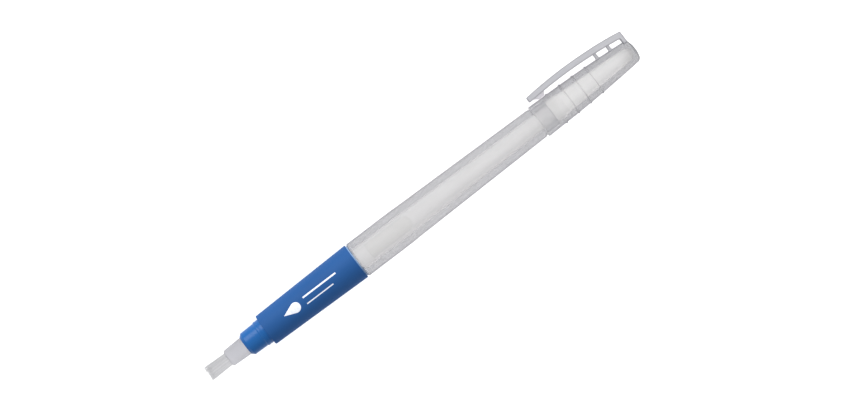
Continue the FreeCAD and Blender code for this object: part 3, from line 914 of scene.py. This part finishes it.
def cap_wall(x):
    """The cap's outer radius at x without its ribs: a slight cone, then a long bow."""
    if x < CAP_BEND_X:
        return CAP_FRONT_R + (CAP_BEND_R - CAP_FRONT_R) * (x - CAP_X) / (CAP_BEND_X - CAP_X)
    t = (x - CAP_BOW_X) / CAP_BOW_LENGTH
    return CAP_BOW_R - 0.8 * MM * t - 0.25 * MM * t * t


def rib_height(x):
    """How much of a rib's full height stands at x, from 0 to 1."""
    near = min(1, min(abs(x - c) for c in RIB_XS) / RIB_HALF)
    return 0.5 * (1 + math.cos(math.pi * near))


def cap_slot(centre):
    """The film slot of a face: 0 wall, 1 rib line, 2 bore, 3 over the spigot, 4 front end. The
    rib lines are darker, partly for the thicker plastic and partly as painted shade of the rib
    slopes.
    """
    if centre.yz.length < 4.7 * MM and centre.x < CAP_BEND_X:
        return 2
    if centre.x < CAP_X + 0.15 * MM:
        return 4
    if centre.x < CAP_CORE_X:
        return 3
    return int(min(abs(centre.x - c) for c in RIB_XS[1:]) < RIB_LINE_HALF)


def make_cap(films, core):
    """The ribbed cap: closed domed end, bore for the spigot, narrower cavity for the tip."""
    skin = [
        (CAP_CORE_X, CAP_BORE_R),
        (CAP_X + 0.2 * MM, CAP_BORE_R, 0.05 * MM),
        (CAP_X, CAP_MOUTH_R, 0.1 * MM),
        (CAP_X, CAP_FACE_R, 0.12 * MM),
        (CAP_X + 0.2 * MM, cap_wall(CAP_X), 0.1 * MM),
    ]
    x = CAP_X + 0.5 * MM
    while x < CROWN_X - 0.3 * MM:
        skin.append((x, cap_wall(x) + RIB_PROUD * rib_height(x)))
        near = min(abs(x - c) for c in RIB_XS)
        x += FINE_STEP if near < 0.7 * MM else COARSE_STEP
    skin += [
        (CROWN_X, cap_wall(CROWN_X), 0.3 * MM),
        (CAP_END_X - 0.5 * MM, 3.3 * MM, 0.6 * MM),
        (CAP_END_X - 0.1 * MM, 1.6 * MM, 0.8 * MM),
        (CAP_END_X, 0.0),
    ]
    hollow = [
        (CAP_CORE_END_X, 0.0),
        (CAP_CORE_END_X, 1.5 * MM, 0.4 * MM),
        (CAVITY_END_X, CAVITY_END_R, 0.8 * MM),
        (CAVITY_X, CAVITY_R, 0.4 * MM),
        (CAP_BEND_X + 0.5 * MM, CAP_BORE_R, 0.3 * MM),
        (CAP_CORE_X, CAP_BORE_R),
    ]
    outside = lathe("cap_skin", skin, False)
    for polygon in outside.polygons:
        polygon.material_index = cap_slot(polygon.center)
    inside = lathe("cap_inner", hollow, False)
    add_piece("cap_skin", outside, films, "cap", ["cap_shell"])
    add_piece("cap_inner", inside, [core], "cap", ["cap_shell"])


def bow(points):
    """The parabola through three (x, y) points, as a function of x."""
    (x0, y0), (x1, y1), (x2, y2) = points

    def height(x):
        a = y0 * (x - x1) * (x - x2) / ((x0 - x1) * (x0 - x2))
        b = y1 * (x - x0) * (x - x2) / ((x1 - x0) * (x1 - x2))
        c = y2 * (x - x0) * (x - x1) / ((x2 - x0) * (x2 - x1))
        return a + b + c

    return height


def slab(name, outline, half_width, edge):
    """An (x, y) outline extruded to both sides of z = 0, with softened rims in slot 1, where
    the clip and its webs take a darker film as painted shade along their edges.
    """
    bm = bmesh.new()
    bottom = [bm.verts.new((x, y, -half_width)) for x, y in outline]
    top = [bm.verts.new((x, y, half_width)) for x, y in outline]
    count = len(outline)
    faces = [bm.faces.new(bottom), bm.faces.new(top)]
    for i in range(count):
        j = (i + 1) % count
        bm.faces.new((bottom[i], bottom[j], top[j], top[i]))
    rims = {e for f in faces for e in f.edges}
    bmesh.ops.recalc_face_normals(bm, faces=bm.faces)
    bmesh.ops.bevel(
        bm, geom=list(rims), offset=edge, offset_type="OFFSET", segments=3,
        profile=0.5, affect="EDGES", clamp_overlap=True,
    )
    mesh = finish_mesh(bm, name, 40)
    for polygon in mesh.polygons:
        # The rims take slot 1, which on the clip and its webs holds painted shade.
        polygon.material_index = int(abs(polygon.normal.z) < 0.98)
    return mesh


def arc(centre, r, start, end, steps=6):
    """Points on an arc; angles in degrees from +X towards +Y."""
    points = []
    for k in range(steps + 1):
        a = math.radians(start + (end - start) * k / steps)
        points.append((centre[0] + r * math.cos(a), centre[1] + r * math.sin(a)))
    return points


CLIP_OUTER = bow([(111.2 * MM, 8.55 * MM), (123.8 * MM, 9.17 * MM), (ARM_END_X, 8.74 * MM)])
CLIP_INNER = bow([(111.2 * MM, 6.6 * MM), (123.8 * MM, 7.1 * MM), (ARM_END_X, 6.58 * MM)])
HEAD_OUTER = bow([(ARM_END_X, 8.74 * MM), (142.0 * MM, 8.2 * MM), (HEAD_END_X, 7.32 * MM)])
HEAD_INNER = bow([(ARM_END_X, 6.58 * MM), (142.0 * MM, 6.02 * MM), (HEAD_END_X, 5.24 * MM)])


def clip_line(arm, head, x):
    """The height of the clip's line at x, from its arm's bow and its head's bow."""
    return arm(x) if x < ARM_END_X else head(x)


def clip_outline():
    """The clip from the side: rounded free end, bowed arm, head, and leg to the cap."""
    r = CLIP_FREE_R
    corner_r, fillet = 0.55 * MM, 0.3 * MM
    corner = (HEAD_END_X - corner_r, HEAD_OUTER(HEAD_END_X) - 0.45 * MM)
    inner_corner = (LEG_X - fillet, HEAD_INNER(LEG_X) - fillet)
    outline = arc((CLIP_X + r, CLIP_OUTER(CLIP_X + r) - r), r, 180, 90)
    for x in along(CLIP_FREE_X, HEAD_END_X - 0.5 * MM, CLIP_STEPS):
        outline.append((x, clip_line(CLIP_OUTER, HEAD_OUTER, x)))
    outline += arc(corner, corner_r, 60, 0, 5)
    outline += [(HEAD_END_X, y) for y in along(6.2 * MM, LEG_FOOT_Y, 5)]
    outline += [(LEG_X, y) for y in along(LEG_FOOT_Y, HEAD_INNER(LEG_X) - 0.4 * MM, 5)]
    outline += arc(inner_corner, fillet, 0, 90, 4)
    for x in along(LEG_X - 0.8 * MM, CLIP_FREE_X, CLIP_STEPS):
        outline.append((x, clip_line(CLIP_INNER, HEAD_INNER, x)))
    outline += arc((CLIP_X + r, CLIP_INNER(CLIP_X + r) + r), r, 270, 180)
    return outline


def make_clip(films, pad_film):
    """The clip's bar in one piece, the pad under its free end, and its two webs."""
    mesh = slab("clip_bar", clip_outline(), CLIP_HALF, 0.35 * MM)
    piece = add_piece("clip_bar", mesh, films, replaced=["clip_arm"])
    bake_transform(piece)
    mesh = slab("clip_pad", [(x * MM, y * MM) for x, y in PAD], PAD_HALF, 0.2 * MM)
    add_piece("clip_pad", mesh, [pad_film, pad_film], "clip")
    for number, x in enumerate(WEB_XS):
        make_web(f"clip_web_{number}", x, films)


def make_web(name, x, films):
    """A thin web between the clip's head and the cap, flared where it meets the cap."""
    foot = cap_wall(x) - 0.4 * MM
    flare_y = foot + 0.8 * MM
    flare_half = WEB_HALF + WEB_FLARE
    top = HEAD_INNER(x) + 0.3 * MM
    web = [(x - WEB_HALF, top), (x - WEB_HALF, flare_y), (x - flare_half, foot)]
    web += [(x + flare_half, foot), (x + WEB_HALF, flare_y), (x + WEB_HALF, top)]
    add_piece(name, slab(name, web, WEB_HALF_WIDTH, 0.15 * MM), films, "cap")


# --- studio ---------------------------------------------------------------------------


def make_camera():
    """Straight down on the brush, turned so that it lies from corner to corner."""
    data = bpy.data.cameras.new("camera")
    camera = bpy.data.objects.new("camera", data)
    bpy.context.scene.collection.objects.link(camera)
    data.sensor_width = SENSOR_WIDTH
    data.lens = data.sensor_width * CAMERA_DISTANCE / VIEW_WIDTH
    data.clip_end = CAMERA_REACH
    camera.location = AIM + Vector((0, 0, CAMERA_DISTANCE))
    camera.rotation_euler = (0, 0, -ROLL)
    bpy.context.scene.camera = camera


def softbox(name, side, lean, watts):
    """A softbox that leans from overhead to one side of the brush and casts no shadow."""
    data = bpy.data.lights.new(name, "AREA")
    data.size = SOFTBOX_SIZE
    data.energy = watts
    data.use_shadow = False
    lamp = bpy.data.objects.new(name, data)
    across, up = side * math.sin(lean), math.cos(lean)
    place = Vector((SOFTBOX_X, SOFTBOX_DISTANCE * across, SOFTBOX_DISTANCE * up))
    lamp.location = place
    lamp.rotation_euler = (SOFTBOX_AIM - place).to_track_quat("-Z", "Y").to_euler()
    bpy.context.scene.collection.objects.link(lamp)
    return lamp


def light_group(name, pieces):
    """A collection that names the pieces one lamp is linked to."""
    group = bpy.data.collections.new(name)
    for piece in pieces:
        group.objects.link(bpy.data.objects[piece])
    return group


def light_pieces():
    """
    The key lamp lights all but the frosted and pale pieces. Frosted plastic spreads light
    inside itself, so those pieces are lit from both sides, and the pale ones from above.
    """
    frosted = light_group("frosted", FROSTED)
    pale = light_group("pale", PALE)
    solid = light_group("solid", FROSTED + PALE)
    for entry in solid.collection_objects:
        entry.light_linking.link_state = "EXCLUDE"
    for name, side, lean, watts, group in (
        ("key", 1, KEY_LEAN, KEY_WATTS, solid),
        ("top", 1, 0.0, TOP_WATTS, pale),
        ("glow_near", 1, GLOW_LEAN, GLOW_NEAR_WATTS, frosted),
        ("glow_far", -1, GLOW_LEAN, GLOW_FAR_WATTS, frosted),
    ):
        softbox(name, side, lean, watts).light_linking.receiver_collection = group


def make_studio():
    """A pale floor and an even white room."""
    mesh = bpy.data.meshes.new("floor")
    signs = ((-1, -1), (1, -1), (1, 1), (-1, 1))
    corners = [(x * FLOOR_HALF, y * FLOOR_HALF, FLOOR_Z) for x, y in signs]
    mesh.from_pydata(corners, [], [(0, 1, 2, 3)])
    floor = bpy.data.objects.new("floor", mesh)
    mesh.materials.append(floor_paint())
    bpy.context.scene.collection.objects.link(floor)
    world = bpy.data.worlds.new("studio")
    world.use_nodes = True
    background = world.node_tree.nodes["Background"]
    background.inputs["Color"].default_value = (1, 1, 1, 1)
    background.inputs["Strength"].default_value = ROOM_STRENGTH
    bpy.context.scene.world = world
    bpy.context.scene.view_settings.view_transform = "Standard"


# --- build ----------------------------------------------------------------------------

make_camera()
make_studio()

paint = {name: blue_plastic(name, *look) for name, look in BLUES.items()}
paint.update({name: frosted_film(name, *look) for name, look in FILMS.items()})
paint.update({name: inner_wall(name, *look) for name, look in CORES.items()})
nylon = nylon_fibre()


def paints(*names):
    """The materials of these names, in slot order."""
    return [paint[name] for name in names]


barrel_films = paints("barrel_film", "panel_shade_film", "panel_step_shade_film", "shoulder_bounce_film", "end_film")
cap_films = paints("cap_film", "rib_line_shade_film", "bore_film", "mouth_film", "end_film")

make_tuft(nylon)
make_ferrule(paint["ferrule_film"])
make_nose(paint["nose_blue"])
make_grip(paint["grip_blue"], paint["lip_glow_blue"])
make_print(print_ink())
make_barrel(barrel_films, paint["barrel_core"], paint["spigot_film"])
make_cap(cap_films, paint["cap_core"])
make_clip(paints("clip_film", "clip_edge_shade_film"), paint["pad_film"])

# The hidden pieces keep their CAD shapes and take a material each.
for node, material in (
    ("tuft_root", nylon),
    ("feed_core", bonded_fibre()),
    ("flow_regulator", paint["white_core"]),
    ("sealing_ring", soft_silicone()),
):
    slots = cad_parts[node].data.materials
    slots.clear()
    slots.append(material)

light_pieces()
